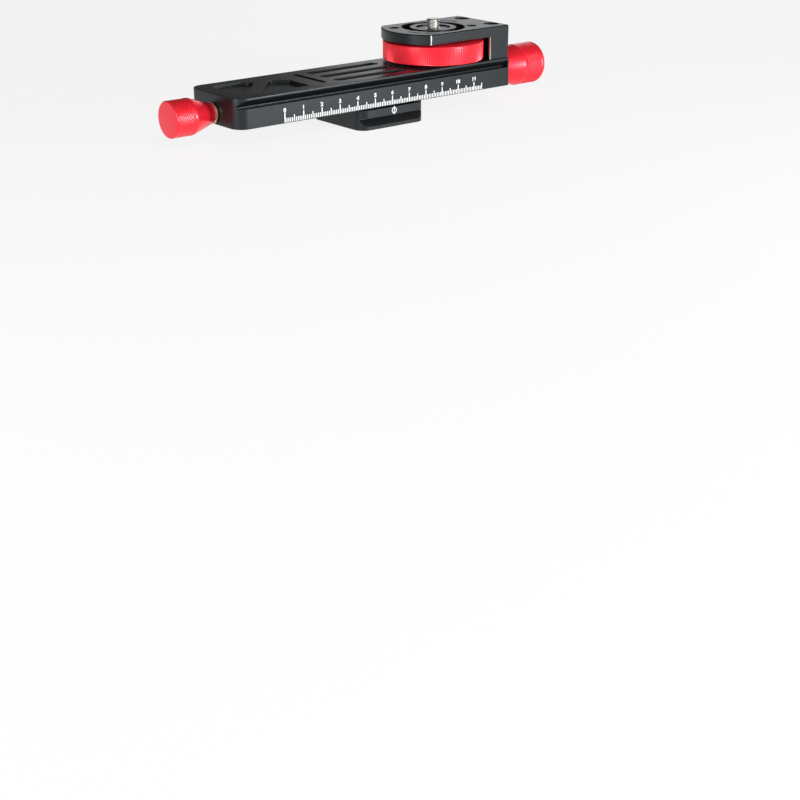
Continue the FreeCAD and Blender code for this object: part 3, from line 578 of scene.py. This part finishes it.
def make_lead_screw():
    journal = 2.5 * MM
    radius = (screw_high.z - screw_low.z) / 2
    left_shoulder = rail_low.x + 11.65 * MM
    right_shoulder = rail_high.x - 8.25 * MM
    profile = [(screw_low.x, 0.0, 0.0), (screw_low.x, journal, 0.0), (left_shoulder, journal, 0.0)]
    length = right_shoulder - left_shoulder
    rows = round(length / screw_pitch * 8)
    for row in range(rows + 1):
        profile.append((left_shoulder + length * row / rows, radius, screw_thread_depth))
    profile += [(right_shoulder, journal, 0.0), (screw_high.x, journal, 0.0), (screw_high.x, 0.0, 0.0)]
    piece = turned_piece(
        "lead_screw_threaded",
        profile,
        32,
        across_screw,
        finishes["steel"],
        "screw_and_knobs",
        helix(screw_pitch),
    )
    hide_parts("lead_screw")


make_stud()
make_lead_screw()


# Scale and index mark
def add_block(points, faces, low, high):
    """A thin block between two corners."""
    base = len(points)
    for x in (low[0], high[0]):
        for y in (low[1], high[1]):
            for z in (low[2], high[2]):
                points.append((x, y, z))
    for quad in ((0, 1, 3, 2), (4, 6, 7, 5), (0, 4, 5, 1), (2, 3, 7, 6), (0, 2, 6, 4), (1, 5, 7, 3)):
        faces.append([base + corner for corner in quad])


def make_ticks():
    points, faces = [], []
    front = rail_low.y
    for number in range(scale_end + 1):
        height, width = millimetre_tick, tick_width
        if number % 5 == 0:
            height = half_tick
        if number % 10 == 0:
            height, width = centimetre_tick if number else zero_tick, long_tick_width
        middle = scale_zero + number * MM
        low = (middle - width / 2, front - print_depth, rail_low.z + tick_start)
        high = (middle + width / 2, front + print_depth, rail_low.z + height)
        add_block(points, faces, low, high)
    piece = new_piece("scale_ticks", points, faces, finishes["white_print"], "rail")


def make_number(number):
    curve = bpy.data.curves.new("number", "FONT")
    curve.body = str(number)
    curve.size = 1.0
    curve.align_x = "CENTER"
    curve.offset = 0.045
    curve.resolution_u = 3
    text = bpy.data.objects.new("number", curve)
    bpy.context.scene.collection.objects.link(text)
    bpy.context.view_layer.update()
    mesh = bpy.data.meshes.new_from_object(text.evaluated_get(bpy.context.evaluated_depsgraph_get()))
    bpy.data.objects.remove(text)
    return mesh


def make_numbers():
    build = bmesh.new()
    for number in range(12):
        mesh = make_number(number)
        heights = [vertex.co.y for vertex in mesh.vertices]
        low, high = min(heights), max(heights)
        widths = [vertex.co.x for vertex in mesh.vertices]
        middle = (min(widths) + max(widths)) / 2
        factor = number_height / (high - low)
        start = len(build.verts)
        build.from_mesh(mesh)
        build.verts.ensure_lookup_table()
        for vertex in build.verts[start:]:
            x = scale_zero + number * 10 * MM + (vertex.co.x - middle) * factor * number_stretch
            z = rail_low.z + number_middle + (vertex.co.y - (low + high) / 2) * factor
            vertex.co = (x, rail_low.y - print_depth, z)
        bpy.data.meshes.remove(mesh)
    bmesh.ops.remove_doubles(build, verts=build.verts, dist=0.002 * MM)
    raised = bmesh.ops.extrude_face_region(build, geom=build.faces[:])
    moved = [item for item in raised["geom"] if isinstance(item, bmesh.types.BMVert)]
    bmesh.ops.translate(build, verts=moved, vec=(0.0, 2 * print_depth, 0.0))
    bmesh.ops.recalc_face_normals(build, faces=build.faces)
    mesh = bpy.data.meshes.new("scale_numbers")
    build.to_mesh(mesh)
    build.free()
    mesh.materials.append(finishes["white_print"])
    piece = bpy.data.objects.new("scale_numbers", mesh)
    bpy.context.scene.collection.objects.link(piece)
    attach(piece, "rail")


def make_index_mark():
    points, faces = [], []
    front = foot_low.y
    middle_z = foot_high.z - 1.65 * MM
    steps = 48
    for radius in (mark_outer, mark_inner):
        for depth in (-print_depth, print_depth):
            for step in range(steps):
                angle = 2 * math.pi * step / steps
                x, z = radius * math.cos(angle), middle_z + radius * math.sin(angle)
                points.append((x, front + depth, z))
    loops = [range(start * steps, (start + 1) * steps) for start in range(4)]
    for first, second in ((0, 1), (1, 3), (3, 2), (2, 0)):
        for step in range(steps):
            follow = (step + 1) % steps
            near, far = loops[first], loops[second]
            faces.append([near[step], near[follow], far[follow], far[step]])
    ring = new_piece("index_ring", points, faces, finishes["white_print"], "carriage")
    points, faces = [], []
    half = mark_line_width / 2
    low = (-half, front - print_depth * 1.2, middle_z - mark_line / 2)
    high = (half, front + print_depth, middle_z + mark_line / 2)
    add_block(points, faces, low, high)
    line = new_piece("index_line", points, faces, finishes["white_print"], "carriage")


make_ticks()
make_numbers()
make_index_mark()


# Floor
floor_whiteness = 0.85


def make_floor():
    finish = Finish("floor_paint")
    cloud = finish.grain(90 * MM)
    finish.set("Base Color", finish.blend(cloud, (0.86, 0.86, 0.86), (0.88, 0.88, 0.88)))
    finish.set("Roughness", 0.85)
    finish.show_as_white(floor_whiteness)
    half = 4.0
    corners = [(-half, -half, 0.0), (half, -half, 0.0), (half, half, 0.0), (-half, half, 0.0)]
    mesh = bpy.data.meshes.new("floor")
    mesh.from_pydata(corners, [], [(0, 1, 2, 3)])
    mesh.materials.append(finish.material)
    floor = bpy.data.objects.new("floor", mesh)
    bpy.context.scene.collection.objects.link(floor)


# Light
def make_lamp(name, azimuth, elevation, distance, width, height, radiance):
    """A soft box that faces the stage. azimuth is clockwise from +Y, seen from above."""
    a, e = math.radians(azimuth), math.radians(elevation)
    target = Vector((0.0, 0.0, 20 * MM))
    toward = Vector((math.sin(a) * math.cos(e), math.cos(a) * math.cos(e), math.sin(e)))
    lamp = bpy.data.lights.new(name, "AREA")
    lamp.shape = "RECTANGLE"
    lamp.size = width
    lamp.size_y = height
    lamp.energy = radiance * math.pi * width * height
    holder = bpy.data.objects.new(name, lamp)
    holder.location = target + toward * distance
    holder.rotation_euler = (-toward).to_track_quat("-Z", "Y").to_euler()
    bpy.context.scene.collection.objects.link(holder)


def make_world(shade):
    world = bpy.data.worlds.new("studio")
    world.use_nodes = True
    world.node_tree.nodes["Background"].inputs["Color"].default_value = (*shade, 1.0)
    world.node_tree.nodes["Background"].inputs["Strength"].default_value = 1.0
    bpy.context.scene.world = world


def make_camera():
    lens = bpy.data.cameras.new("camera")
    lens.sensor_width = 36.0
    lens.lens = 66.45
    lens.clip_start = 0.01
    holder = bpy.data.objects.new("camera", lens)
    holder.location = (-0.42717, -0.53857, 0.15000)
    holder.rotation_euler = (math.radians(66.92), 0.0, math.radians(-39.65))
    bpy.context.scene.collection.objects.link(holder)
    bpy.context.scene.camera = holder


make_floor()
make_lamp("soft_front", 203, 26, 0.8, 0.5, 0.4, 4.8)
make_lamp("front_strip", 158, 6, 0.6, 0.12, 0.10, 85.0)
make_lamp("left_strip", 258, 6, 0.6, 0.28, 0.10, 15.0)
make_lamp("rear_box", 50, 14, 0.6, 0.30, 0.20, 1.45)
make_world((0.15, 0.15, 0.155))
make_camera()
bpy.context.scene.view_settings.view_transform = "Standard"
